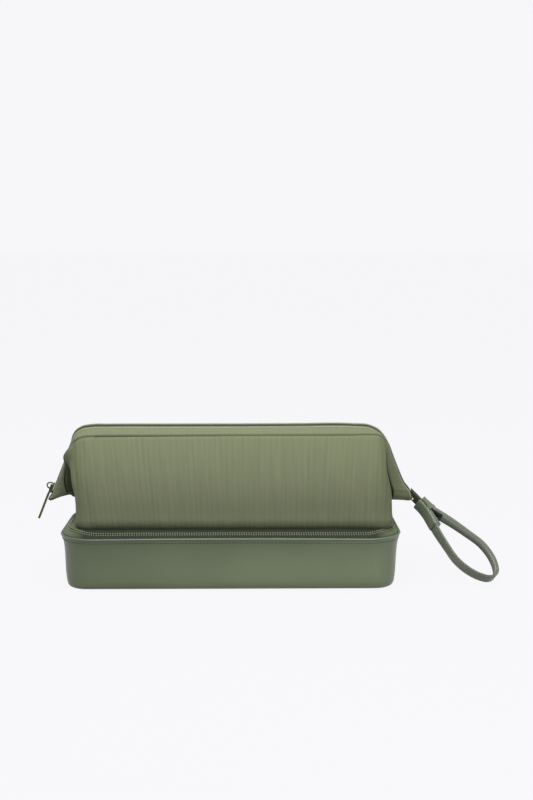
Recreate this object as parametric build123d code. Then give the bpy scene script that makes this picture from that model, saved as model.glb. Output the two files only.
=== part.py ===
from build123d import *
import math
import os

os.makedirs("parts", exist_ok=True)

# Toiletry bag with a moulded base, a zipped lower compartment and a two-hoop framed mouth.
# Millimetres. X runs along the bag, -Y is the front, Z = 0 is the surface it stands on.

RIM_X, RIM_Y, RIM_R, RIM_Z = 145.0, 65.0, 33.0, 43.0
FOOT_X, FOOT_Y, FOOT_R = 138.5, 61.0, 20.0
BASE_WALL = 1.8
FOOT_FILLET = 6.0
BINDING_Z = 41.2
BODY_X, BODY_Y, BODY_R, BODY_Z = 134.0, 54.0, 22.0, 50.0
MOUTH_X, MOUTH_Y, MOUTH_R, MOUTH_Z = 128.0, 18.0, 6.0, 117.5
SHELL = 1.2
LINING = 0.6
CORNER_CUT = 114.0

HOOP_Z = 131.0
HOOP_R = 16.0
HOOP_SLOPE = 0.4
HOOP_X118 = 139.8
SEAM_Z = 124.5
SEAM_R = 9.0
SEAM_SLOPE = 0.18
SEAM_X116 = 136.5
LEG_Z = 86.0
RIDGE_Y = 3.5
SEAM_Y = 17.0
BAND = 1.2
TEETH_GAP = 0.4
TEETH_Y = 1.6

PIVOT_Z = 84.0
WIRE_R = 1.2
WIRE_X = 132.8
WIRE_TOP = (15.3, 122.5)
WIRE_BEND = 8.0
LUG_R = 2.6
PIN_R = 1.25

SLIDER_Z = 75.0
PULL_LEN = 30.0
PULL_EYE = 3.0
BASE_SLIDER_Y = 27.0

STRAP_AT = (160.5, 0.0, 67.5)
STRAP_DIR = (0.642, -0.448, -0.622)
STRAP_ACROSS = (-0.333, 0.5675, -0.752)
STRAP_W = 9.2
STRAP_T = 2.2
RIVET_U = 13.0
RIVET_R = 1.5
LOOP_HALF = [
    (8.5, 2.45),
    (14.0, 2.45),
    (20.0, 3.3),
    (28.0, 6.0),
    (36.0, 9.2),
    (55.0, 15.0),
    (71.0, 18.4),
    (84.0, 16.2),
    (94.0, 10.6),
    (98.6, 5.6),
]
LOOP_END = 100.0


def save(shape, name):
    if isinstance(shape, list) or len(shape.solids()) != 1:
        print("CHECK", name, len(shape.solids()))
    shape.label = name
    export_step(shape, f"parts/{name}.step")


def outline(hx, hy, r, z):
    return Plane((0, 0, z)) * RectangleRounded(2 * hx, 2 * hy, r)


def tub(lo, hi):
    return loft([outline(*lo), outline(*hi)], ruled=True)


def at_level(lo, hi, z, inset):
    t = (z - lo[3]) / (hi[3] - lo[3])
    vals = [lo[i] + (hi[i] - lo[i]) * t - inset for i in range(3)]
    return (*vals, z)


def ring(lo, hi, z0, z1, d0, d1):
    outer = tub(at_level(lo, hi, z0, d0), at_level(lo, hi, z1, d0))
    inner = tub(at_level(lo, hi, z0, d1), at_level(lo, hi, z1, d1))
    return outer - inner


FOOT = (FOOT_X, FOOT_Y, FOOT_R, 0.0)
RIM = (RIM_X, RIM_Y, RIM_R, RIM_Z)
BODY = (BODY_X, BODY_Y, BODY_R, BODY_Z)
MOUTH = (MOUTH_X, MOUTH_Y, MOUTH_R, MOUTH_Z)


def slab(lo, hi, z0, z1, inset):
    return tub(at_level(lo, hi, z0, inset), at_level(lo, hi, z1, inset))


def box(x0, x1, y0, y1, z0, z1):
    centre = Pos((x0 + x1) / 2, (y0 + y1) / 2, (z0 + z1) / 2)
    return centre * Box(x1 - x0, y1 - y0, z1 - z0)


def base_parts():
    outer = slab(FOOT, RIM, 0.0, BINDING_Z, 0.0)
    outer = fillet(outer.faces().sort_by(Axis.Z)[0].edges(), FOOT_FILLET)
    hollow = slab(FOOT, RIM, BASE_WALL, RIM_Z + 1, BASE_WALL)
    hollow = fillet(hollow.faces().sort_by(Axis.Z)[0].edges(), FOOT_FILLET - BASE_WALL)
    save(outer - hollow, "base_shell")
    save(ring(FOOT, RIM, BINDING_Z, RIM_Z, -0.4, BASE_WALL), "rim_binding")
    save(slab(FOOT, RIM, 1.8, 3.4, 8.0), "base_board")
    save(slab(FOOT, RIM, 3.4, 4.0, 8.0), "base_lining_floor")
    save(ring(FOOT, RIM, 6.6, 41.0, BASE_WALL, BASE_WALL + LINING), "base_lining_wall")


def chamfer_z(t):
    return RIM_Z + (BODY_Z - RIM_Z) * t


def chamfer_ring(t0, t1, d0, d1):
    return ring(RIM, BODY, chamfer_z(t0), chamfer_z(t1), d0, d1)


def base_zip():
    save(chamfer_ring(0.0, 0.46, 0.4, 1.2), "base_zip_tape_lower")
    save(chamfer_ring(0.54, 1.0, 0.4, 1.2), "base_zip_tape_upper")
    front = box(-160, 160, -80, 36, 40, 52)
    save(chamfer_ring(0.34, 0.46, -0.6, 0.4) & front, "base_zip_teeth_lower")
    save(chamfer_ring(0.54, 0.66, -0.6, 0.4) & front, "base_zip_teeth_upper")


def chamfer_plane(y):
    run = Vector(BODY_X - RIM_X, 0, BODY_Z - RIM_Z).normalized()
    mid = Vector((RIM_X + BODY_X) / 2, y, (RIM_Z + BODY_Z) / 2)
    return Plane(origin=mid, x_dir=run, z_dir=run.cross(Vector(0, -1, 0)))


def slider_body(length, half, post_tilt):
    outer = Pos(0, 0, 1.5) * Box(2 * half, length, 1.0)
    inner = Pos(0, 0, -1.9) * Box(2 * half, length, 1.0)
    post_length = 2.8 / math.cos(math.radians(post_tilt))
    post = Pos(0, -length / 2 + 1.2, 0) * Rot(0, post_tilt, 0) * Box(0.3, 2.0, post_length)
    bail = Pos(0, 0, 2.9) * Box(1.6, 5.0, 2.2)
    bail -= Pos(0, 0, 3.0) * Rot(0, 90, 0) * Cylinder(0.75, 4)
    outer = fillet(outer.edges().filter_by(Axis.Z), 1.2)
    return outer + inner + post + bail


def puller(length):
    pin = Rot(0, 90, 0) * Cylinder(0.55, 5.6)
    left = Pos(-2.3, -3.0, 0) * Box(1.0, 6.0, 1.1)
    right = Pos(2.3, -3.0, 0) * Box(1.0, 6.0, 1.1)
    bar = Pos(0, -5.4 - (length - 5.4) / 2, 0) * Box(5.6, length - 5.4, 1.6)
    bar = fillet(bar.edges().filter_by(Axis.Z), 1.6)
    return pin + left + right + bar


def base_slider():
    plane = chamfer_plane(BASE_SLIDER_Y)
    tilt = -math.degrees(math.atan2(RIM_X - BODY_X, BODY_Z - RIM_Z))
    save(plane * slider_body(9.0, 3.4, tilt), "base_slider")
    eye = plane.origin + plane.z_dir * PULL_EYE
    hang = Plane(origin=eye, x_dir=plane.x_dir * -1, z_dir=plane.z_dir)
    save(hang * puller(22.0), "base_puller")


def hoop_points(top, radius, x_ref, z_ref, slope, low, inset):
    run = math.hypot(1, slope)
    x_low = x_ref + (z_ref - low) * slope - inset * run
    x_top = x_ref + (z_ref - (top - inset)) * slope - inset * run
    ztop = top - inset
    r = radius - inset
    turn = math.pi / 2 - math.atan(slope)
    t = r * math.tan(turn / 2)
    leg = (slope / run, -1 / run)
    a = (x_low, low)
    b = (x_top + leg[0] * t, ztop + leg[1] * t)
    c = (x_top - t, ztop)
    centre = (x_top - t, ztop - r)
    mid_angle = math.pi / 2 - turn / 2
    m = (centre[0] + r * math.cos(mid_angle), centre[1] + r * math.sin(mid_angle))
    return a, b, m, c


def hoop_strip(y, spec, inset0, inset1):
    out = hoop_points(*spec, inset0)
    inn = hoop_points(*spec, inset1)

    def pt(p, side):
        return (side * p[0], y, p[1])

    def run(points, sign):
        a, b, m, c = points
        return [
            Line(pt(a, sign), pt(b, sign)),
            ThreePointArc(pt(b, sign), pt(m, sign), pt(c, sign)),
            Line(pt(c, sign), pt(c, -sign)),
            ThreePointArc(pt(c, -sign), pt(m, -sign), pt(b, -sign)),
            Line(pt(b, -sign), pt(a, -sign)),
        ]

    edges = run(out, 1)
    edges.append(Line(pt(out[0], -1), pt(inn[0], -1)))
    edges += run(inn, -1)
    edges.append(Line(pt(inn[0], 1), pt(out[0], 1)))
    return make_face(Wire(edges))


ZIP = (HOOP_Z, HOOP_R, HOOP_X118, 118.0, HOOP_SLOPE, LEG_Z)
SEAM = (SEAM_Z, SEAM_R, SEAM_X116, 116.0, SEAM_SLOPE, LEG_Z)


def hoop_band(side):
    faces = [hoop_strip(side * RIDGE_Y, ZIP, 0.0, BAND), hoop_strip(side * SEAM_Y, SEAM, 0.0, BAND)]
    return loft(faces, ruled=True)


def hoop_flat(side, y0, y1, d0, d1):
    faces = [hoop_strip(side * y0, ZIP, d0, d1), hoop_strip(side * y1, ZIP, d0, d1)]
    return loft(faces, ruled=True)


def hoop_wire(side, lug_x):
    rise = math.hypot(WIRE_TOP[0], WIRE_TOP[1] - PIVOT_Z)
    up = Vector(0, side * WIRE_TOP[0] / rise, (WIRE_TOP[1] - PIVOT_Z) / rise)
    plane = Plane(origin=(0, 0, PIVOT_Z), x_dir=(1, 0, 0), z_dir=Vector(1, 0, 0).cross(up))
    lean = 1.3
    pts = [(WIRE_X, 5.0), (WIRE_X - lean, rise), (-WIRE_X + lean, rise), (-WIRE_X, 5.0)]
    path = plane * FilletPolyline(*pts, radius=WIRE_BEND)
    start = plane.from_local_coords(Vector(WIRE_X, 5.0, 0))
    end_dir = plane.from_local_coords(Vector(WIRE_X - lean, rise, 0)) - start
    section = Plane(origin=start, z_dir=end_dir) * Circle(WIRE_R)
    wire = sweep(section, path)
    for sx in (1, -1):
        x = sx * lug_x
        disc = Pos(x, 0, PIVOT_Z) * Rot(0, 90, 0) * Cylinder(LUG_R, 1.0)
        neck = plane * Pos(x, 4.6, 0) * Box(1.0, 5.0, 2.0)
        hole = Pos(x, 0, PIVOT_Z) * Rot(0, 90, 0) * Cylinder(PIN_R + 0.06, 6.0)
        wire = wire + disc + neck - hole
    return wire, plane, rise


def hoop(side, name, lug_x):
    band = hoop_band(side)
    wire, plane, rise = hoop_wire(side, lug_x)
    crest = plane * Pos(0, rise, 0) * Rot(0, 90, 0)
    sleeve = crest * Cylinder(2.1, 236) - crest * Cylinder(WIRE_R, 240) - band
    parts = sorted(sleeve.solids(), key=lambda s: -s.volume)
    save(band, f"{name}_band")
    save(wire, f"{name}_wire")
    save(parts[0], f"{name}_wire_sleeve")
    save(hoop_flat(side, TEETH_GAP, RIDGE_Y, 0.6, 1.2), f"{name}_zip_tape")
    save(hoop_flat(side, TEETH_GAP, TEETH_Y, -0.3, 0.6), f"{name}_zip_teeth")


def body_parts():
    shell = ring(BODY, MOUTH, BODY_Z, MOUTH_Z, 0.0, SHELL)
    mid = box(-CORNER_CUT, CORNER_CUT, -80, 80, 40, 140)
    save(shell & box(-CORNER_CUT, CORNER_CUT, -80, 0, 40, 140), "front_panel")
    save(shell & box(-CORNER_CUT, CORNER_CUT, 0, 80, 40, 140), "rear_panel")
    save((shell - mid) & box(-160, 0, -80, 80, 40, 140), "left_gusset")
    save((shell - mid) & box(0, 160, -80, 80, 40, 140), "right_gusset")
    save(slab(BODY, MOUTH, BODY_Z, 51.6, SHELL), "divider_board")
    save(slab(BODY, MOUTH, 51.6, 52.2, SHELL), "upper_lining_floor")
    save(ring(BODY, MOUTH, 52.2, MOUTH_Z - 1.0, SHELL, SHELL + LINING), "upper_lining_wall")
    save(Pos(0, 0, 49.7) * extrude(RectangleRounded(2 * 131, 2 * 51, 20), 0.3), "divider_lining")


def wing_x(z):
    return HOOP_X118 + (118 - z) * HOOP_SLOPE


def gusset_x(z):
    return BODY_X + (MOUTH_X - BODY_X) * (z - BODY_Z) / (MOUTH_Z - BODY_Z)


def zip_end(sx):
    run = math.hypot(1, HOOP_SLOPE)
    ends = []
    for z in (63.5, 83.0):
        centre = Pos(sx * (wing_x(z) - 0.7 * run), 0)
        ends.append(Plane((0, 0, z)) * centre * Rectangle(1.4 * run, 6.0))
    strip = loft(ends, ruled=True) - box(-170, 170, -TEETH_GAP, TEETH_GAP, 68.5, 84)
    foot = []
    for z in (63.5, 67.0):
        centre = Pos(sx * (wing_x(z) - 2.4 * run), 0)
        foot.append(Plane((0, 0, z)) * centre * Rectangle(2.0 * run, 6.0))
    return strip + loft(foot, ruled=True)


def hoop_rivet(sx):
    x_in = gusset_x(PIVOT_Z) - 0.6
    pin = Pos(sx * (x_in + 134.9) / 2, 0, PIVOT_Z) * Rot(0, 90, 0) * Cylinder(PIN_R, 134.9 - x_in)
    head = Pos(sx * 134.6, 0, PIVOT_Z) * Rot(0, 90, 0) * Cylinder(2.4, 0.8)
    return (pin + head) - tub(BODY, MOUTH)


def wing_web(sx):
    run = math.hypot(1, HOOP_SLOPE)
    pts = [
        (gusset_x(63.5), 63.5),
        (wing_x(63.5) - 3.4 * run, 63.5),
        (wing_x(82.5) - 3.4 * run, 82.5),
        (141.0, 82.5),
        (139.0, 80.0),
        (gusset_x(80.0), 80.0),
    ]
    face = make_face(Plane.XZ * Polyline(*[(sx * x, z) for x, z in pts], close=True))
    return extrude(face, 3.0, both=True)


def wing_parts():
    for sx, side in ((-1, "left"), (1, "right")):
        save(wing_web(sx), f"{side}_wing_web")
        save(zip_end(sx), f"{side}_zip_end")
        save(hoop_rivet(sx), f"{side}_hoop_rivet")


def top_slider():
    zdir = Vector(-1, 0, HOOP_SLOPE).normalized()
    up = Vector(HOOP_SLOPE, 0, 1).normalized()
    at = Vector(-wing_x(SLIDER_Z), 0, SLIDER_Z) - zdir * 0.7
    plane = Plane(origin=at, x_dir=up.cross(zdir), z_dir=zdir)
    save(plane * slider_body(9.0, 3.3, 0.0), "top_slider")
    hang = Plane(origin=at + zdir * PULL_EYE, x_dir=(0, -1, 0), z_dir=zdir)
    save(hang * puller(PULL_LEN), "top_puller")


def strap_plane():
    m = Vector(*STRAP_DIR).normalized()
    w = Vector(*STRAP_ACROSS)
    w = (w - m * w.dot(m)).normalized()
    return Plane(origin=STRAP_AT, x_dir=m, z_dir=w)


def loop_face():
    outer = [(u, v + STRAP_T / 2) for u, v in LOOP_HALF]
    inner = [(u, v - STRAP_T / 2) for u, v in LOOP_HALF]
    outer_far = [(u, -v) for u, v in reversed(outer)]
    inner_far = [(u, -v) for u, v in reversed(inner)]
    out_curve = Spline(*outer, (LOOP_END + STRAP_T / 2, 0.0), *outer_far)
    in_curve = Spline(*inner, (LOOP_END - STRAP_T / 2, 0.0), *inner_far)
    start = Line(outer[0], inner[0])
    stop = Line(outer_far[-1], inner_far[-1])
    return make_face(Wire([out_curve, stop, in_curve, start]))


def cross_pin(radius, length):
    return Pos(RIVET_U, 0, 0) * Rot(90, 0, 0) * Cylinder(radius, length)


def strap_tab(plane):
    strip = Pos(5.5, 0, 0) * Box(22.0, 2.4, STRAP_W - 1.0)
    strip = fillet(strip.edges().filter_by(Axis.Y).sort_by(Axis.X)[-2:], 3.0)
    tab = plane * (strip - cross_pin(RIVET_R + 0.06, 12))
    tab = tab - zip_end(1) - wing_web(1) - box(100, 159.0, -20, 20, 40, 100)
    return sorted(tab.solids(), key=lambda s: -s.volume)[0]


def strap_parts():
    plane = strap_plane()
    ribbon = extrude(loop_face(), STRAP_W / 2, both=True) - cross_pin(RIVET_R, 12)
    tongue = Pos(28.9, 3.6, 0) * Rot(0, 0, 15) * Box(16.0, 3.0, STRAP_W - 1.2) - ribbon
    snap = Pos(26.0, -3.0, 0) * Rot(0, 0, -17) * (Box(12.0, 2.6, STRAP_W - 2.0) - Box(5.0, 4.0, 3.6)) - ribbon
    rivet = cross_pin(RIVET_R, 7.1) + Pos(0, 3.85, 0) * cross_pin(2.6, 0.6)
    rivet += Pos(0, -3.85, 0) * cross_pin(2.6, 0.6)
    save(plane * ribbon, "wrist_loop")
    save(plane * sorted(tongue.solids(), key=lambda s: -s.volume)[0], "loop_tongue")
    save(plane * sorted(snap.solids(), key=lambda s: -s.volume)[0], "loop_snap")
    save(plane * (rivet - ribbon), "strap_rivet")
    save(strap_tab(plane), "strap_tab")


base_parts()
base_zip()
base_slider()
body_parts()
hoop(-1, "front_hoop", 133.4)
hoop(1, "rear_hoop", 132.2)
wing_parts()
top_slider()
strap_parts()
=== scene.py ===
"""Looks for the framed toiletry bag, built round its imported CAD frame.

Lengths in the shapes are millimetres, and lengths in the shaders, lamps and camera are metres.
"""

import math

import bmesh
import bpy
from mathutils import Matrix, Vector, noise


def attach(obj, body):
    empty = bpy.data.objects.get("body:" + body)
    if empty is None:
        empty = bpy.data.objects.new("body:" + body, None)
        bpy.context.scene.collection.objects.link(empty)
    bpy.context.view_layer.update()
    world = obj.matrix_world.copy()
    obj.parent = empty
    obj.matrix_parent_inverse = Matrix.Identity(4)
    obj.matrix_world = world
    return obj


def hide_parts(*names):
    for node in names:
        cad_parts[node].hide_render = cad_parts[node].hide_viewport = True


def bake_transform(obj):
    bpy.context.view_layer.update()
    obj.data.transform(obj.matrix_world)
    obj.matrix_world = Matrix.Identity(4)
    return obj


MM = 0.001
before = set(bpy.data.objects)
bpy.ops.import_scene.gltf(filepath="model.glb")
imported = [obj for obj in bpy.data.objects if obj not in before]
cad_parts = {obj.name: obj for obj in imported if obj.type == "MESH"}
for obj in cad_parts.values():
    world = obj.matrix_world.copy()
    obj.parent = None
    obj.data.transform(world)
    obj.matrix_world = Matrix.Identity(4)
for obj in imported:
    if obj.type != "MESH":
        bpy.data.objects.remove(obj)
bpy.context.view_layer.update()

# ---------------------------------------------------------------- colours and shaders


def linear(r, g, b):
    def one(c):
        c /= 255
        return c / 12.92 if c <= 0.04045 else ((c + 0.055) / 1.055) ** 2.4

    return (one(r), one(g), one(b), 1.0)


class Shader:
    """A Principled material with short calls for its noise, wave and bump nodes."""

    def __init__(self, name, colour, rough, metal=0.0):
        self.mat = bpy.data.materials.new(name)
        self.mat.use_nodes = True
        self.nodes = self.mat.node_tree.nodes
        self.links = self.mat.node_tree.links
        self.bsdf = self.nodes["Principled BSDF"]
        self.set("Base Color", colour)
        self.set("Roughness", rough)
        self.set("Metallic", metal)
        self.colour = colour
        self.last_normal = None

    def set(self, name, value):
        if name in self.bsdf.inputs:
            self.bsdf.inputs[name].default_value = value
        return self

    def node(self, kind, **inputs):
        made = self.nodes.new(kind)
        for key, value in inputs.items():
            made.inputs[key.replace("_", " ")].default_value = value
        return made

    def coords(self, scale, source="UV", turn=0.0):
        place = self.node("ShaderNodeTexCoord")
        mapping = self.node("ShaderNodeMapping", Scale=scale, Rotation=(0, 0, turn))
        self.links.new(place.outputs[source], mapping.inputs["Vector"])
        return mapping.outputs["Vector"]

    def stretched(self, size, turn):
        """UV coordinates turned and then divided by size, for marks that run along one way."""
        vector = self.coords(size, turn=turn)
        vector.node.vector_type = "TEXTURE"
        return vector

    def noise(self, vector, scale, detail=3.0, distortion=0.0):
        made = self.node("ShaderNodeTexNoise", Scale=scale, Detail=detail, Distortion=distortion)
        self.links.new(vector, made.inputs["Vector"])
        return made.outputs[0]

    def wave(self, vector, scale, distortion=0.0, detail_scale=1.0):
        made = self.node("ShaderNodeTexWave", Scale=scale, Distortion=distortion, Detail=2.0)
        made.inputs["Detail Scale"].default_value = detail_scale
        made.bands_direction = "X"
        self.links.new(vector, made.inputs["Vector"])
        return made.outputs[1]

    def tint(self, value, low, high):
        """Multiplies the colour so far by low where value is 0 and by high where it is 1."""
        remap = self.node("ShaderNodeMapRange")
        remap.inputs["To Min"].default_value = low
        remap.inputs["To Max"].default_value = high
        self.links.new(value, remap.inputs["Value"])
        mix = self.node("ShaderNodeMix")
        mix.data_type = "RGBA"
        mix.blend_type = "MULTIPLY"
        mix.inputs[0].default_value = 1.0
        old = self.bsdf.inputs["Base Color"]
        if old.is_linked:
            self.links.new(old.links[0].from_socket, mix.inputs[6])
        else:
            mix.inputs[6].default_value = self.colour
        self.links.new(remap.outputs[0], mix.inputs[7])
        self.links.new(mix.outputs[2], old)
        return self

    def bump(self, value, distance):
        made = self.node("ShaderNodeBump", Strength=1.0, Distance=distance)
        self.links.new(value, made.inputs["Height"])
        if self.last_normal:
            self.links.new(self.last_normal, made.inputs["Normal"])
        self.last_normal = made.outputs[0]
        self.links.new(self.last_normal, self.bsdf.inputs["Normal"])
        return self

    def sheen(self, weight, tint):
        self.set("Sheen Weight", weight)
        self.set("Sheen Tint", tint)
        self.set("Sheen Roughness", 0.4)
        return self


def fabric(name, rgb, streak, foot=1.0):
    """Olive twill with fine upright streaks. Its colour is foot times as strong at the lower edge, as
    painted shade.
    """
    s = Shader(name, linear(*rgb), 0.7)
    fine = s.noise(s.stretched((0.26, 6.0, 1), 0.03), 1.0, 2, 0.25)
    wide = s.noise(s.stretched((0.55, 5.0, 1), 0.05), 1.0, 2, 0.3)
    lines = s.wave(s.coords((1, 0.3, 1)), 0.68, 1.5, 0.25)
    s.tint(lines, 1 - 0.2 * streak, 1 + 0.2 * streak)
    s.bump(lines, 0.00012)
    s.tint(fine, 1 - streak, 1 + streak)
    s.tint(wide, 1 - 0.6 * streak, 1 + 0.6 * streak)
    s.tint(s.noise(s.coords((1, 1, 1)), 22.0, 2), 0.95, 1.05)
    s.bump(wide, 0.0003)
    s.bump(fine, 0.00018)
    s.bump(s.wave(s.coords((1, 1, 1), turn=0.9), 6.0), 0.00005)
    # Painted shade: the colour ramps down to foot times its strength toward the lower edge, standing in for
    # the light falling off there.
    rise = s.node("ShaderNodeSeparateXYZ")
    s.links.new(s.coords((1, 1, 1), "Object"), rise.inputs[0])
    painted_shade_ramp = s.node("ShaderNodeMapRange")
    painted_shade_ramp.inputs["From Min"].default_value = 0.050
    painted_shade_ramp.inputs["From Max"].default_value = 0.122
    s.links.new(rise.outputs["Z"], painted_shade_ramp.inputs["Value"])
    s.tint(painted_shade_ramp.outputs[0], foot, 1.0)
    return s.sheen(0.15, (0.9, 0.95, 0.8, 1)).mat


def leather(name, rgb, rough, grain=1.0):
    s = Shader(name, linear(*rgb), rough)
    v = s.coords((1, 1, 1), "Object")
    s.tint(s.noise(v, 26.0, 4), 0.93, 1.07)
    # The broad tint at scale 9 is partly random tone in the hide and partly painted sheen: its lighter
    # patches stand in for broad reflected light.
    s.tint(s.noise(v, 9.0, 1), 0.72, 1.28)
    s.bump(s.noise(v, 900.0, 3), 0.00005 * grain)
    s.bump(s.noise(v, 60.0, 2), 0.0004 * grain)
    s.set("Specular IOR Level", 0.5)
    s.set("Coat Weight", 0.12)
    s.set("Coat Roughness", 0.4)
    return s.mat


def tape_painted_end_highlight():
    """Paints the tape paler toward the bag's two ends: a painted highlight for the light the bare cloth
    reflects where it turns up.
    """
    s = Shader("zip_tape_dark", linear(42, 46, 34), 0.75)
    s.set("Specular IOR Level", 0.2)
    split = s.node("ShaderNodeSeparateXYZ")
    s.links.new(s.coords((1, 1, 1), "Object"), split.inputs[0])
    away = s.node("ShaderNodeMath")
    away.operation = "ABSOLUTE"
    s.links.new(split.outputs["X"], away.inputs[0])
    ends = s.node("ShaderNodeMapRange")
    ends.inputs["From Min"].default_value = 0.122
    ends.inputs["From Max"].default_value = 0.142
    s.links.new(away.outputs[0], ends.inputs["Value"])
    # Painted highlight: the tape grows up to 7.5 times paler beyond 122 mm from the middle.
    s.tint(ends.outputs[0], 1.0, 7.5)
    s.bump(s.noise(s.coords((1, 1, 1), "Object"), 1500.0, 2), 0.0001)
    return s.mat


def plain(name, rgb, rough, metal=0.0):
    return Shader(name, linear(*rgb), rough, metal).mat


def woven(name, rgb):
    s = Shader(name, linear(*rgb), 0.8)
    v = s.coords((1, 1, 1), "Object")
    s.bump(s.noise(v, 1500.0, 2), 0.0001)
    s.tint(s.noise(v, 700.0, 2), 0.9, 1.1)
    return s.mat


# FABRIC is painted darker toward its lower edge (foot=0.62), as painted shade.
FABRIC = fabric("olive_twill", (104, 110, 76), 0.15, foot=0.62)
BAND = fabric("olive_twill_band", (106, 112, 80), 0.06)
LINING = woven("lining_cloth", (58, 61, 48))
LEATHER = leather("olive_leather", (104, 115, 86), 0.36)
LEATHER_EDGE = leather("leather_edge", (104, 114, 92), 0.34)
STRAP = leather("strap_leather", (110, 116, 100), 0.38, grain=0.3)
STRAP_EDGE = leather("strap_edge", (90, 96, 80), 0.5, grain=0.3)
TAPE = woven("zip_tape", (84, 89, 66))
# A pale colour for the band's rolled fold edge by the zip: a painted highlight along the fold.
FOLD_EDGE_PAINTED_HIGHLIGHT = woven("fold_edge_painted_highlight", (146, 152, 120))
TAPE_DARK = tape_painted_end_highlight()
TEETH = plain("coil_dark", (28, 30, 23), 0.5)
# The base zip's coil is painted pale as a painted highlight on its bars; the top coil keeps the dark colour.
COIL_PAINTED_HIGHLIGHT = plain("coil_painted_highlight", (118, 124, 94), 0.45)
THREAD = plain("thread", (128, 134, 108), 0.6)
THREAD_DARK = plain("thread_dark", (62, 70, 52), 0.6)
# A painted shadow colour, for dark strips put where only shade falls.
PAINTED_SHADOW = plain("seam_shadow", (40, 44, 32), 0.9)
WEB = woven("webbing", (60, 64, 42))
STEEL = plain("steel", (150, 152, 150), 0.35, 1.0)
BRASS = plain("olive_bronze", (72, 76, 42), 0.36, 0.8)
BLACK = plain("black_metal", (20, 22, 19), 0.35, 0.3)
BOARD = plain("board", (66, 68, 58), 0.8)

# ---------------------------------------------------------------- mesh helpers


def mesh(name, verts, faces, mats, face_mats=None, uvs=None):
    data = bpy.data.meshes.new(name)
    data.from_pydata([Vector(v) * MM for v in verts], [], faces)
    for m in mats:
        data.materials.append(m)
    if face_mats:
        data.polygons.foreach_set("material_index", face_mats)
    if uvs:
        layer = data.uv_layers.new(name="UVMap")
        for loop in data.loops:
            layer.data[loop.index].uv = uvs[loop.vertex_index]
    data.polygons.foreach_set("use_smooth", [True] * len(data.polygons))
    data.update()
    obj = bpy.data.objects.new(name, data)
    bpy.context.scene.collection.objects.link(obj)
    bm = bmesh.new()
    bm.from_mesh(data)
    bmesh.ops.recalc_face_normals(bm, faces=bm.faces)
    bm.to_mesh(data)
    bm.free()
    return obj


def vnormals(rows, closed):
    n, m = len(rows), len(rows[0])
    out = []
    for i in range(n):
        line = []
        for j in range(m):
            left = rows[i][(j - 1) % m if closed else max(j - 1, 0)]
            right = rows[i][(j + 1) % m if closed else min(j + 1, m - 1)]
            down = rows[max(i - 1, 0)][j]
            up = rows[min(i + 1, n - 1)][j]
            line.append((right - left).cross(up - down).normalized())
        out.append(line)
    return out


def sheet(name, rows, thick, mats, closed=False):
    """A skin through rows of points. It is thickened against its normal, with mats[1] on the inner face."""
    n, m = len(rows), len(rows[0])
    normals = vnormals(rows, closed)
    verts, uvs = [], []
    middle = rows[n // 2]
    runs = [0.0]
    for j in range(1, m):
        runs.append(runs[-1] + (middle[j] - middle[j - 1]).length)
    for side in (0, 1):
        rise = [0.0] * m
        for i in range(n):
            for j in range(m):
                if i:
                    rise[j] += (rows[i][j] - rows[i - 1][j]).length
                verts.append(rows[i][j] - normals[i][j] * thick * side)
                uvs.append((runs[j] * 0.1, rise[j] * 0.1))
    faces, kinds = [], []

    def at(side, i, j):
        return side * n * m + i * m + j % m

    span = m if closed else m - 1
    for i in range(n - 1):
        for j in range(span):
            faces.append((at(0, i, j), at(0, i, j + 1), at(0, i + 1, j + 1), at(0, i + 1, j)))
            faces.append((at(1, i, j), at(1, i + 1, j), at(1, i + 1, j + 1), at(1, i, j + 1)))
            kinds += [0, len(mats) - 1]
    for j in range(span):
        for i in (0, n - 1):
            faces.append((at(0, i, j), at(1, i, j), at(1, i, j + 1), at(0, i, j + 1)))
            kinds.append(0)
    if not closed:
        for i in range(n - 1):
            for j in (0, m - 1):
                faces.append((at(0, i, j), at(0, i + 1, j), at(1, i + 1, j), at(1, i, j)))
                kinds.append(0)
    return mesh(name, verts, faces, mats, kinds, uvs)


def smoothstep(x):
    x = min(1.0, max(0.0, x))
    return x * x * (3 - 2 * x)


def curve(points, steps):
    """A smooth line through the points, with steps pieces between each two."""
    pts = [Vector(p) for p in points]
    pts = [pts[0] * 2 - pts[1]] + pts + [pts[-1] * 2 - pts[-2]]
    out = []
    for k in range(1, len(pts) - 2):
        p0, p1, p2, p3 = pts[k - 1 : k + 3]
        t1 = max((p2 - p1).length, 1e-6)
        d0, d3 = max((p1 - p0).length, 1e-6), max((p3 - p2).length, 1e-6)
        m1 = ((p1 - p0) / d0 * t1 + (p2 - p1) / t1 * d0) / (d0 + t1) * t1
        m2 = ((p2 - p1) / t1 * d3 + (p3 - p2) / d3 * t1) / (d3 + t1) * t1
        for s in range(steps):
            u = s / steps
            a, b = 2 * u**3 - 3 * u**2 + 1, u**3 - 2 * u**2 + u
            c, d = -2 * u**3 + 3 * u**2, u**3 - u**2
            out.append(p1 * a + m1 * b + p2 * c + m2 * d)
    return out + [pts[-2]]


def walk(line, pitch, closed=False, start=0.0):
    """Points every pitch along a line, each with the direction there."""
    pts = line + [line[0]] if closed else line
    out, need = [], start
    for a, b in zip(pts, pts[1:]):
        length = (b - a).length
        way = (b - a).normalized() if length > 1e-9 else Vector((1, 0, 0))
        while need <= length:
            out.append((a + way * need, way))
            need += pitch
        need -= length
    return out


BAR_CORNERS = ((-1, -0.6), (-0.6, -1), (0.6, -1), (1, -0.6), (1, 0.6), (0.6, 1), (-0.6, 1), (-1, 0.6))


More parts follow.
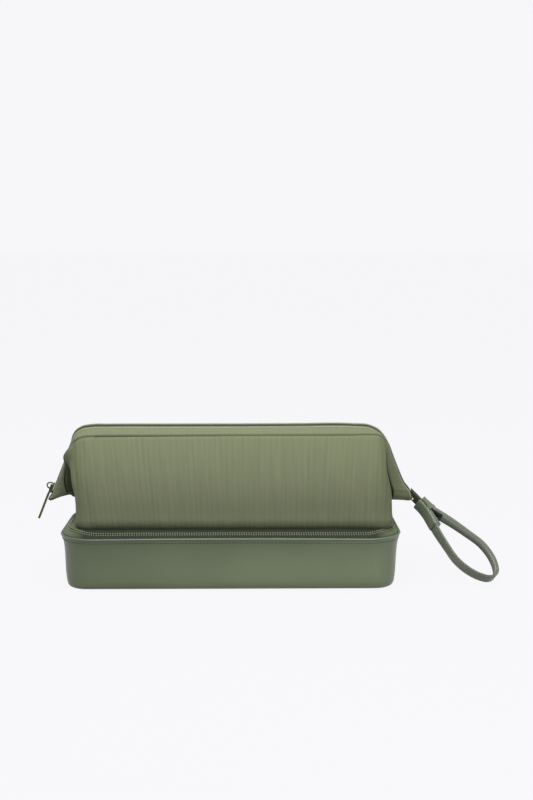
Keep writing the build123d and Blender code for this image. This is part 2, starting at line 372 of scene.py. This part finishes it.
def bars(name, spots, size, mat, sink=0.0):
    """One small rounded bar at each (place, along, across, out)."""
    verts, faces = [], []
    la, lc, lo = (s / 2 for s in size)
    for place, along, across, out in spots:
        k = len(verts)
        for h, f in ((-1, 0.72), (0.35, 1.0), (1, 0.55)):
            for a, c in BAR_CORNERS:
                verts.append(place + along * (a * la * f) + across * (c * lc * f) + out * (h * lo - sink))
        for r in (0, 8):
            for i in range(8):
                j = (i + 1) % 8
                faces.append((k + r + i, k + r + j, k + r + 8 + j, k + r + 8 + i))
        faces.append(tuple(k + i for i in range(7, -1, -1)))
        faces.append(tuple(k + 16 + i for i in range(8)))
    return mesh(name, verts, faces, [mat])


def tube(name, line, radius, mat):
    """A round wire along a smooth line, closed at both ends."""
    verts, faces = [], []
    n = 10
    for k, p in enumerate(line):
        way = (line[min(k + 1, len(line) - 1)] - line[max(k - 1, 0)]).normalized()
        side = way.orthogonal().normalized() if k == 0 else (side - way * side.dot(way)).normalized()
        up = way.cross(side)
        for i in range(n):
            a = 2 * math.pi * i / n
            verts.append(p + side * (radius * math.cos(a)) + up * (radius * math.sin(a)))
    for k in range(len(line) - 1):
        for i in range(n):
            j = (i + 1) % n
            faces.append((k * n + i, k * n + j, (k + 1) * n + j, (k + 1) * n + i))
    faces.append(tuple(range(n - 1, -1, -1)))
    faces.append(tuple((len(line) - 1) * n + i for i in range(n)))
    return mesh(name, verts, faces, [mat])


def weigh(obj, share):
    """Bakes obj's placement into its points and works out share(point in mm, index) for each point; nothing
    uses these shares.
    """
    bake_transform(obj)
    values = [share(v.co / MM, v.index) for v in obj.data.vertices]


# ---------------------------------------------------------------- the moulded base

# Rounded rectangles: half length, half depth, corner radius and height.
RIM = (145.0, 65.0, 33.0, 43.0)
FOOT = (138.5, 61.0, 15.0, 0.0)
BODY = (134.0, 54.0, 22.0, 50.0)
STITCH_Z = 39.7
HINGE_STRIP_Y = 36


def outline(hx, hy, r, z, along=44, deep=14, arc=14, bow=0.0):
    """Points round a rounded rectangle, from the rear right corner, in step at every size."""
    out = []
    corners = (
        (hx - r, hy - r, 0),
        (-hx + r, hy - r, 90),
        (-hx + r, -hy + r, 180),
        (hx - r, -hy + r, 270),
    )
    for k, (cx, cy, start) in enumerate(corners):
        for i in range(arc + 1):
            a = math.radians(start + 90 * i / arc)
            out.append(Vector((cx + r * math.cos(a), cy + r * math.sin(a), z)))
        nxt = corners[(k + 1) % 4]
        a = math.radians(start + 90)
        first = out[-1]
        last = Vector((nxt[0] + r * math.cos(a), nxt[1] + r * math.sin(a), z))
        steps = along if k % 2 == 0 else deep
        for i in range(1, steps):
            out.append(first.lerp(last, i / steps))
    if bow:
        for p in out:
            p.z += bow * (1 - (p.x / hx) ** 2)
    return out


def between(lo, hi, z, inset, bow=0.0):
    t = (z - lo[3]) / (hi[3] - lo[3])
    hx, hy, r = (lo[i] + (hi[i] - lo[i]) * t - inset for i in range(3))
    return outline(hx, hy, max(r, 2.0), z, bow=bow)


def base():
    profile = [(12.0, 0.0), (4.5, 0.0), (2.6, 0.2), (1.2, 0.9), (0.3, 2.2), (-0.2, 4.2), (-0.4, 7.5)]
    profile += [(-0.3, 13.0), (0.2, 20.0), (0.7, 27.0), (0.9, 32.5), (0.7, 36.5), (0.45, 38.8), (0.35, 39.7)]
    profile += [(0.2, 40.4), (0.0, 41.1), (-0.3, 41.9), (-0.65, 42.7), (-0.65, 43.1), (-0.2, 43.6)]
    profile += [(0.9, 43.6), (1.7, 43.0), (1.8, 40.0), (1.8, 30.0), (1.8, 8.0)]
    rows = [between(FOOT, RIM, z, d, bow=z / RIM[3]) for d, z in profile]
    for row in rows[5:20]:
        for p in row:
            q = noise.noise(p * 0.02 + Vector((3, 1, 9)))
            out = Vector((p.x / RIM[0], p.y / RIM[1], 0)).normalized()
            p += out * q * 0.7
    for row in rows:
        for p in row:
            if p.y < 0:
                p.y -= 1.8 * smoothstep(1 - p.z / 26) * smoothstep((138 - abs(p.x)) / 20)
    n, m = len(rows), len(rows[0])
    verts = [p for row in rows for p in row]
    faces = []
    for i in range(n - 1):
        for j in range(m):
            k = (j + 1) % m
            faces.append((i * m + j, i * m + k, (i + 1) * m + k, (i + 1) * m + j))
    faces.append(tuple(range(m - 1, -1, -1)))
    obj = mesh("base_leather", verts, faces, [LEATHER])
    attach(obj, "base")
    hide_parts("base_shell", "rim_binding")
    lip = ((-0.72, 42.3), (-0.95, 42.9), (-0.62, 43.5), (-0.1, 43.75))
    edge_rows = [between(FOOT, RIM, z, d, bow=1.0) for d, z in lip]
    edge = sheet("rim_piping", edge_rows, 0.5, [LEATHER_EDGE], closed=True)
    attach(edge, "base")
    line = between(FOOT, RIM, STITCH_Z, 0.2, bow=STITCH_Z / RIM[3])
    spots = []
    for p, way in walk(line, 3.0, closed=True):
        out = Vector((way.y, -way.x, 0.0))
        spots.append((p, way, Vector((0, 0, 1)), out))
    stitches = bars("rim_stitches", spots, (1.7, 0.6, 0.6), THREAD_DARK)
    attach(stitches, "base")


def chamfer(t, lift, bow=0.9):
    """A line round the zip's slope, swelling outward at the bag's ends, where the loose cloth arches up."""
    z = RIM[3] + (BODY[3] - RIM[3]) * t
    ring = between(RIM, BODY, z, -lift, bow=bow * (1 - t))
    for p in ring:
        p.z += 2.2 * math.sin(math.pi * t) * smoothstep((abs(p.x) - 112) / 22)
    return ring


def base_zip():
    below = ((0.0, -1.4), (0.06, -0.9), (0.2, -0.5), (0.36, -0.45), (0.47, -0.7))
    above = ((0.53, -0.7), (0.64, -0.45), (0.8, -0.5), (0.94, -0.8), (1.0, -1.1))
    lower = [chamfer(t, lift) for t, lift in below]
    upper = [chamfer(t, lift) for t, lift in above]
    low = sheet("base_tape_low", lower, 0.6, [TAPE_DARK, LINING], closed=True)
    top = sheet("base_tape_high", upper, 0.6, [TAPE_DARK, LINING], closed=True)
    # The lower tape's lowest strip takes the painted shadow colour: a dark line standing in for the shade
    # under the rim's edge.
    low.data.materials.append(PAINTED_SHADOW)
    for face in low.data.polygons:
        if face.center.z < chamfer(0.06, 0)[0].z * MM and face.material_index == 0:
            face.material_index = 2
    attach(low, "base")
    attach(top, "upper")
    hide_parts("base_zip_tape_lower")
    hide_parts("base_zip_tape_upper")
    for name, t, body, node in (
        ("base_coil_low", 0.42, "base", "base_zip_teeth_lower"),
        ("base_coil_high", 0.58, "upper", "base_zip_teeth_upper"),
    ):
        ring = chamfer(t, -0.25)
        half_way = len(ring) // 2
        ring = ring[half_way:] + ring[:half_way]
        start = 0.0 if body == "base" else 1.0
        spots = []
        for p, way in walk(ring, 2.0, closed=True, start=start):
            if p.y > HINGE_STRIP_Y:
                continue
            out = Vector((way.y, -way.x, 0.0))
            face = (out * 7 + Vector((0, 0, 11))).normalized()
            across = way.cross(face)
            spots.append((p, way, across, face))
        # The base coils take the pale painted highlight colour, standing in for light caught on each bar.
        coil = bars(name, spots, (1.1, 1.5, 1.1), COIL_PAINTED_HIGHLIGHT, sink=-0.2)
        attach(coil, body)
        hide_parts(node)
    steps = 9
    rows = []
    for i in range(steps):
        t = 0.04 + 0.92 * i / (steps - 1)
        z = RIM[3] + (BODY[3] - RIM[3]) * t
        y = RIM[1] + (BODY[1] - RIM[1]) * t
        rows.append([Vector((x * 4.0, y - 0.1, z)) for x in range(29, -30, -1)])
    strip = sheet("rear_hinge_strip", rows, 0.45, [TAPE_DARK, LINING])
    weigh(strip, lambda p, i: smoothstep((59.5 - p.y) / 7 + 0.5))


# ---------------------------------------------------------------- hoop bands, wings and shell

# Matched places from the right wing's tip, over the top, to the left wing's tip:
# (zip edge x, z), (seam x, depth y, z), (foot of the panel x, depth y).
STATIONS = [
    ((156.6, 62.8), (141.0, 0.0, 64.6), (137.0, 0.0)),
    ((158.6, 63.4), (141.6, 6.0, 65.0), (137.0, 8.0)),
    ((160.4, 66.0), (142.8, 10.0, 68.4), (137.0, 14.0)),
    ((159.2, 71.2), (143.0, 11.5, 73.6), (137.0, 19.0)),
    ((153.4, 79.4), (140.8, 12.6, 80.6), (137.0, 25.0)),
    ((147.8, 92.0), (137.6, 14.6, 92.0), (137.2, 36.0)),
    ((143.2, 103.4), (135.8, 16.0, 104.0), (137.0, 46.0)),
    ((138.8, 114.6), (134.5, 16.8, 115.0), (134.6, 51.2)),
    ((135.0, 120.4), (133.0, 17.0, 120.8), (129.4, 53.6)),
    ((129.6, 126.0), (129.4, 17.0, 124.0), (122.5, 54.2)),
    ((121.5, 130.0), (121.0, 17.0, 124.9), (113.0, 54.3)),
    ((108.0, 131.1), (106.0, 17.0, 124.8), (98.0, 54.0)),
    ((54.0, 131.2), (53.0, 17.2, 124.7), (50.0, 54.2)),
    ((0.0, 131.1), (0.0, 17.3, 124.6), (2.0, 54.4)),
    ((-54.0, 131.1), (-53.0, 17.2, 124.4), (-46.0, 54.2)),
    ((-108.0, 131.1), (-105.0, 17.0, 124.2), (-93.0, 54.0)),
    ((-122.5, 130.9), (-119.0, 17.0, 124.0), (-107.0, 54.3)),
    ((-132.4, 128.8), (-127.5, 17.0, 123.4), (-116.6, 54.2)),
    ((-138.2, 124.4), (-133.4, 17.0, 121.4), (-123.4, 53.6)),
    ((-141.2, 115.8), (-138.2, 16.8, 116.4), (-128.6, 51.0)),
    ((-145.6, 103.6), (-142.6, 16.0, 104.0), (-131.0, 45.6)),
    ((-150.2, 92.0), (-145.6, 14.6, 92.0), (-131.4, 35.0)),
    ((-155.0, 80.0), (-146.2, 12.6, 81.0), (-131.0, 25.0)),
    ((-158.8, 70.5), (-144.6, 11.5, 74.8), (-131.0, 19.0)),
    ((-161.3, 65.3), (-141.4, 10.0, 71.2), (-131.0, 14.0)),
    ((-159.6, 63.9), (-137.4, 6.0, 73.0), (-131.0, 8.0)),
    ((-157.6, 64.2), (-134.6, 0.0, 75.0), (-131.0, 0.0)),
]
STEPS = 8
FIRST, LAST = 2, len(STATIONS) - 3
HOOP_LOW, HOOP_HIGH = 77.0, 92.0


def lines(side):
    """The zip edge, the seam and the panel's foot as smooth lines in step, on the front (-1) or rear (1)."""
    edge = curve([(e[0], side * 0.5, e[1]) for e, s, f in STATIONS], STEPS)
    seam = curve([(s[0], side * s[1], s[2]) for e, s, f in STATIONS], STEPS)
    foot = curve([(f[0], side * f[1], 50.2) for e, s, f in STATIONS], STEPS)
    return edge, seam, foot


def hoop_share(z):
    return smoothstep((z - HOOP_LOW) / (HOOP_HIGH - HOOP_LOW))


def outward(line, i):
    """The way out of the hoop's curve at point i, in the XZ plane."""
    a, b = line[max(i - 1, 0)], line[min(i + 1, len(line) - 1)]
    way = (b - a).normalized()
    return Vector((way.z, 0, -way.x))


def flip(rows, side):
    return rows if side < 0 else rows[::-1]


def follow(obj):
    """Bakes obj's placement and works out each point's hoop share by height, through weigh; the shares are
    not used.
    """
    weigh(obj, lambda p, i: hoop_share(p.z))


def band(side, name):
    """A hoop's cloth band, with its zip tape and coil, a painted seam shadow, a rolled fold edge in painted
    highlight colour and top stitches.
    """
    edge, seam, foot = lines(side)
    lo, hi = FIRST * STEPS, LAST * STEPS + 1
    ts = [0.0, 0.03, 0.09, 0.2, 0.34, 0.5, 0.66, 0.8, 0.9, 0.955, 0.985, 1.0]
    rows = []
    for t in ts:
        row = []
        for i in range(lo, hi):
            out = outward(edge, i)
            start = edge[i] + Vector((0, side * 3.2, 0)) - out * (1.8 if side < 0 else 1.5 - 1.7 * out.z)
            p = start.lerp(seam[i], t)
            crown = math.sin(math.pi * t) * 0.9
            roll = -0.9 * smoothstep((0.09 - t) / 0.09) - 1.5 * smoothstep((t - 0.955) / 0.045)
            crown += 0.35 * noise.noise(p * 0.045) * math.sin(math.pi * t)
            p += (out + Vector((0, side * 0.45, 0))).normalized() * (crown + roll + 0.5)
            row.append(p)
        rows.append(row)
    obj = sheet(f"{name}_band_cloth", flip(rows, side), 0.9, [BAND, LINING])
    follow(obj)
    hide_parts(f"{name}_band")
    tape_rows = []
    drops = (0.6, 0.9, 1.5, 2.4) if side < 0 else (0.5, 0.3, 0.0, 0.6)
    for y, d in zip((0.45, 1.6, 2.8, 4.2), drops):
        row = []
        for i in range(lo, hi):
            out = outward(edge, i)
            drop = d if side < 0 else d + 1.4 * (1 - out.z)
            row.append(edge[i] + Vector((0, side * (y - 0.5), 0)) - out * drop)
        tape_rows.append(row)
    tape = sheet(f"{name}_tape_cloth", flip(tape_rows, side), 0.5, [TAPE, LINING])
    follow(tape)
    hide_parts(f"{name}_zip_tape")
    # The coils stay parted on the left leg, where the slider's post runs between them.
    spots = []
    for p, way in walk(edge[lo:hi], 1.5, start=0.0 if side < 0 else 0.75):
        out = Vector((way.z, 0, -way.x))
        parted = side * 0.95 + p.y
        closed = side * 0.8
        y = parted + (closed - parted) * smoothstep((p.x + 115.0) / 15.0)
        spots.append((Vector((p.x, y, p.z)), way, Vector((0, 1, 0)), out))
    coil = bars(f"{name}_coil", spots, (1.0, 1.55, 1.0), TEETH, sink=0.62)
    follow(coil)
    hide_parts(f"{name}_zip_teeth")
    # A dark strip along the seam in painted shadow colour, standing in for the shade in the seam's recess.
    groove = []
    for d in (-0.65, 0.65):
        row = []
        for i in range(lo, hi):
            toward = foot[i] if d > 0 else edge[i]
            row.append(seam[i] - outward(edge, i) * 1.0 + (toward - seam[i]).normalized() * abs(d))
        groove.append(row)
    dark = sheet(f"{name}_seam_painted_shadow", flip(groove, side), 0.3, [PAINTED_SHADOW])
    follow(dark)
    # The band's rolled edge by the zip is real cloth; its pale colour is a painted highlight along the fold.
    roll = [p + outward(edge, lo + k) * 0.1 for k, p in enumerate(rows[1])]
    piping = tube(f"{name}_piping", roll, 0.75, FOLD_EDGE_PAINTED_HIGHLIGHT)
    follow(piping)
    spots = []
    mid = rows[3]
    for p, way in walk(mid, 2.6):
        out = (Vector((way.z, 0, -way.x)) + Vector((0, side * 0.4, 0))).normalized()
        spots.append((p, way, way.cross(out), out))
    stitch = bars(f"{name}_top_stitches", spots, (1.9, 0.6, 0.5), THREAD, sink=-0.1)
    follow(stitch)


def ridge(value, centre, width):
    return math.exp(-(((value - centre) / width) ** 2))


def shell(side, name):
    """One face of the upper bag from the base zip to the band's seam, wrapping half of each end."""
    _, seam, foot = lines(side)
    count = len(seam)
    tall = 36
    rows = []
    for k in range(tall + 1):
        t = k / tall
        row = []
        for i in range(count):
            s = i / STEPS
            end = max(smoothstep((s - 18.0) / 4.0), smoothstep((8.0 - s) / 4.0))
            p = foot[i].lerp(seam[i], t)
            tuck = t ** (1 + 3.2 * end)
            p.x = foot[i].x + (seam[i].x - foot[i].x) * tuck
            p.y = foot[i].y + (seam[i].y - foot[i].y) * t ** (1 + 0.9 * end)
            outer = Vector((foot[i].x / 3, side * 54, 20)).normalized()
            face = Vector((0, side, 0.25)).normalized() if 9 < s < 17 else outer
            middle = smoothstep((s - 6.5) / 3.5) * smoothstep((19.5 - s) / 3.5)
            puff = 4.6 * abs(math.sin(math.pi * t**0.8)) ** 0.9 * (0.12 + 0.88 * middle)
            seam_dip = 1.3 * smoothstep((t - 0.975) / 0.025)
            puff += 1.0 * ridge(t, 0.07, 0.06) - 1.6 * ridge(t, 0.0, 0.03) - seam_dip
            ripple = Vector((p.x * 0.10 - t, p.z * 0.012, 3.0 + side))
            swell = Vector((p.x * 0.02, p.z * 0.03, 8.0 + side))
            puff += 0.5 * noise.noise(ripple) * math.sin(math.pi * t)
            puff += 0.8 * noise.noise(swell) * math.sin(math.pi * t)
            left = smoothstep((s - 18.6) / 1.6) * smoothstep((25.0 - s) / 2.0)
            right = smoothstep((7.8 - s) / 1.6) * smoothstep((s - 1.0) / 2.0)
            p.y += side * left * (3.0 * ridge(t, 0.64, 0.14) - 8.0 * ridge(t, 0.88, 0.075))
            p.y -= side * right * 5.0 * ridge(t, 0.9, 0.08)
            p.x += left * 1.6 * ridge(t, 0.88, 0.08) - right * 2.2 * ridge(t, 0.8, 0.16)
            apex = ridge(s, 19.7, 0.62) * ridge(t, 0.93, 0.10)
            p.x -= 5.2 * apex
            p.y += side * 2.5 * apex
            row.append(p + face * puff)
        rows.append(row)
    obj = sheet(f"{name}_shell_cloth", flip(rows, -side), 0.9, [FABRIC, LINING])

    def share(_, index):
        k, i = divmod(index % (len(rows) * count), count)
        if side < 0:
            k = tall - k
        return hoop_share(seam[i].z) * smoothstep(k / tall) ** 1.2

    weigh(obj, share)
    return obj


def wing_floor(sign, name):
    """The cloth under a wing tip, between the front and rear bands' lower edges."""
    ks = [0, 1, 2] if sign > 0 else [len(STATIONS) - 1, len(STATIONS) - 2, len(STATIONS) - 3]
    rows = []
    for side, order in ((-1, ks[::-1]), (1, ks)):
        for k in order:
            if side > 0 and k == ks[0]:
                continue
            e, s, _ = STATIONS[k]
            a = Vector((e[0], side * (3.2 if k == ks[2] else 1.6 * (k != ks[0])), e[1]))
            b = Vector((s[0], side * s[1], s[2]))
            rows.append([a.lerp(b, j / 6) for j in range(7)])
    obj = sheet(f"{name}_wing_floor", rows if sign > 0 else rows[::-1], 0.8, [BAND, LINING])
    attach(obj, "upper")
    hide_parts(f"{name}_wing_web", f"{name}_zip_end")


STRAP_AT = Vector((160.5, 0.0, 67.5))
STRAP_DIR = Vector((0.642, -0.448, -0.622)).normalized()
STRAP_ACROSS = Vector((-0.333, 0.5675, -0.752)).normalized()
STRAP_OUT = STRAP_ACROSS.cross(STRAP_DIR)

# Half of the loop's centre line: distance along the strap, and distance out from its middle.
LOOP = [(8.5, 2.45), (14.0, 2.45), (20.0, 3.3), (28.0, 6.0), (36.0, 9.2), (55.0, 15.0)]
LOOP += [(71.0, 18.4), (84.0, 16.2), (94.0, 10.6), (98.6, 5.6), (100.0, 0.0)]


def strap_point(u, v, w=0.0):
    return STRAP_AT + STRAP_DIR * u + STRAP_OUT * v + STRAP_ACROSS * w


def strap_half(p):
    """Half the strap's width at p, which narrows past the neck."""
    return 5.7 - 1.2 * smoothstep(((p - STRAP_AT).dot(STRAP_DIR) - 24) / 40)


def ribbon(name, line, thick, mat):
    """A flat strip along a line, wide at the strap's neck and narrower round the loop, with eased edges."""
    rows, faces_out = [], []
    for k, p in enumerate(line):
        way = (line[min(k + 1, len(line) - 1)] - line[max(k - 1, 0)]).normalized()
        faces_out.append(STRAP_ACROSS.cross(way).normalized())
    for s in (-1.0, -0.93, -0.8, 0.0, 0.8, 0.93, 1.0):
        drop = (abs(s) > 0.9) * 0.2 + (abs(s) == 1.0) * 0.35
        row = []
        for p, out in zip(line, faces_out):
            row.append(p + out * (thick / 2 - drop) + STRAP_ACROSS * s * strap_half(p))
        rows.append(row)
    made = sheet(name, rows[::-1], thick, [mat])
    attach(made, "wrist_loop")
    return made


def strap():
    """The leather loop with its stitches, and the two patches that cover its neck."""
    pts = [strap_point(u, v) for u, v in LOOP]
    pts += [strap_point(u, -v) for u, v in LOOP[-2::-1]]
    line = curve(pts, 7)
    loop = ribbon("wrist_strap", line, 2.2, STRAP)
    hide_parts("wrist_loop")
    spots = []
    for p, way in walk(line, 2.8):
        out = STRAP_ACROSS.cross(way).normalized()
        for s in (-0.76, 0.76):
            spots.append((p + out * 1.1 + STRAP_ACROSS * s * strap_half(p), way, STRAP_ACROSS, out))
    stitches = bars("strap_stitches", spots, (1.8, 0.5, 0.45), THREAD)
    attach(stitches, "wrist_loop")
    for name, sign, places in (
        ("near_patch", 1, ((8.2, 4.1), (14.0, 4.1), (20.0, 5.0), (28.0, 7.7), (34.0, 10.1))),
        ("far_patch", -1, ((8.2, 4.1), (13.0, 4.1), (17.0, 4.4), (21.0, 5.3))),
    ):
        cover = curve([strap_point(u, v * sign) for u, v in places], 4)
        ribbon(name, cover[::sign], 1.0, STRAP)
        u, v = places[-1]
        at = strap_point(u - 1.4, (v + 0.2) * sign)
        out = STRAP_OUT * sign
        spots = [(at + STRAP_ACROSS * k * 1.9, STRAP_ACROSS, STRAP_DIR, out) for k in range(-2, 3)]
        seam = bars(f"{name}_stitches", spots, (1.3, 0.5, 0.5), THREAD)
        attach(seam, "wrist_loop")


# The hoop's leg stands at HOOP_X118 at a height of 118 and leans out by HOOP_SLOPE.
HOOP_X118, HOOP_SLOPE, SLIDER_Z = 139.8, 0.4, 75.0


def slider_bail():
    """The round wire bridge over the top slider, which the puller hangs from."""
    out = Vector((-1, 0, HOOP_SLOPE)).normalized()
    up = Vector((HOOP_SLOPE, 0, 1)).normalized()
    at = Vector((-(HOOP_X118 + (118 - SLIDER_Z) * HOOP_SLOPE), 0, SLIDER_Z)) - out * 0.7
    spots = ((3.5, 1.8), (3.9, 4.0), (2.8, 6.2), (0.8, 6.9), (-1.0, 5.6), (-1.3, 3.6), (-0.7, 1.8))
    bail = tube("top_slider_bail", curve([at + up * u + out * v for u, v in spots], 5), 0.6, BRASS)
    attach(bail, "top_slider")


# ---------------------------------------------------------------- finishes on CAD nodes


def finish_cad():
    """Gives the CAD nodes that stay in view their material, and eases the edges of the small ones."""
    finishes = {
        "hoop_wire_sleeve": LINING,
        "hoop_wire": STEEL,
        "hoop_rivet": STEEL,
        "lining": LINING,
        "board": BOARD,
        "slider": BRASS,
        "puller": BRASS,
        "strap_rivet": BLACK,
        "loop_snap": BLACK,
        "strap_tab": WEB,
        "loop_tongue": STRAP_EDGE,
    }
    eased = {
        "top_slider": 0.35,
        "top_puller": 0.4,
        "base_slider": 0.35,
        "base_puller": 0.4,
        "loop_tongue": 0.5,
        "strap_tab": 0.5,
        "strap_rivet": 0.3,
        "loop_snap": 0.4,
    }
    for node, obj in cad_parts.items():
        for key, mat in finishes.items():
            if key in node:
                obj.data.materials.clear()
                obj.data.materials.append(mat)
                break
        if node in eased:
            bevel = obj.modifiers.new("edges", "BEVEL")
            bevel.width = eased[node] * MM
            bevel.segments = 3
            bevel.limit_method = "ANGLE"
            obj.modifiers.new("normals", "WEIGHTED_NORMAL")


# ---------------------------------------------------------------- set, light and camera


def studio():
    """A pale floor, a pale world for the camera, and a softer world for the light, darker from below."""
    bpy.context.scene.view_settings.view_transform = "Standard"
    bpy.ops.mesh.primitive_plane_add(size=300, location=(0, 0, -0.0002))
    ground = bpy.context.object
    ground.name = "floor"
    ground.visible_diffuse = False
    paper = Shader("paper", linear(38, 38, 39), 0.95)
    paper.set("Specular IOR Level", 0.0)
    paper.set("Emission Color", linear(247, 246, 249))
    paper.set("Emission Strength", 0.98)
    ground.data.materials.append(paper.mat)
    world = bpy.data.worlds.new("studio")
    bpy.context.scene.world = world
    world.use_nodes = True
    nodes, links = world.node_tree.nodes, world.node_tree.links
    light = nodes["Background"]
    light.inputs[0].default_value = linear(240, 243, 250)
    seen = nodes.new("ShaderNodeBackground")
    seen.inputs[0].default_value = linear(247, 246, 249)
    place = nodes.new("ShaderNodeTexCoord")
    split = nodes.new("ShaderNodeSeparateXYZ")
    height = nodes.new("ShaderNodeMapRange")
    for key, value in (("From Min", -0.3), ("From Max", 0.9), ("To Min", 0.10), ("To Max", 0.66)):
        height.inputs[key].default_value = value
    links.new(place.outputs["Generated"], split.inputs[0])
    links.new(split.outputs["Z"], height.inputs["Value"])
    links.new(height.outputs[0], light.inputs["Strength"])
    path = nodes.new("ShaderNodeLightPath")
    mix = nodes.new("ShaderNodeMixShader")
    links.new(path.outputs["Is Camera Ray"], mix.inputs[0])
    links.new(light.outputs[0], mix.inputs[1])
    links.new(seen.outputs[0], mix.inputs[2])
    links.new(mix.outputs[0], nodes["World Output"].inputs["Surface"])
    for name, spot, size, power in (
        ("key", (-0.28, -0.40, 1.2), 0.7, 10.5),
        ("fill", (0.36, -0.75, 0.3), 0.5, 2.6),
        ("top", (0.1, 0.1, 1.3), 1.0, 7.0),
    ):
        lamp = bpy.data.objects.new(name, bpy.data.lights.new(name, "AREA"))
        lamp.data.size = size
        lamp.data.energy = power
        lamp.location = spot
        lamp.rotation_mode = "QUATERNION"
        lamp.rotation_quaternion = (Vector((0, 0, 0.06)) - lamp.location).to_track_quat("-Z", "Y")
        bpy.context.scene.collection.objects.link(lamp)


def camera():
    """The lens is 54 mm on a 36 mm long side, just over a metre in front of the bag and 28 cm up."""
    cam = bpy.data.objects.new("camera", bpy.data.cameras.new("camera"))
    bpy.context.scene.collection.objects.link(cam)
    cam.data.sensor_width = 36.0
    cam.data.lens = 54.33
    cam.location = (0.0179, -1.050, 0.2832)
    yaw, pitch = math.radians(0.714), math.radians(7.073)
    way = Vector((math.sin(yaw) * math.cos(pitch), math.cos(yaw) * math.cos(pitch), -math.sin(pitch)))
    cam.rotation_mode = "QUATERNION"
    cam.rotation_quaternion = way.to_track_quat("-Z", "Y")
    bpy.context.scene.camera = cam


base()
base_zip()
band(-1, "front_hoop")
band(1, "rear_hoop")
front = shell(-1, "front")
rear = shell(1, "rear")
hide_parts("front_panel", "left_gusset", "right_gusset", "upper_lining_wall")
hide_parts("rear_panel")
wing_floor(1, "right")
wing_floor(-1, "left")
slider_bail()
strap()
finish_cad()
studio()
camera()
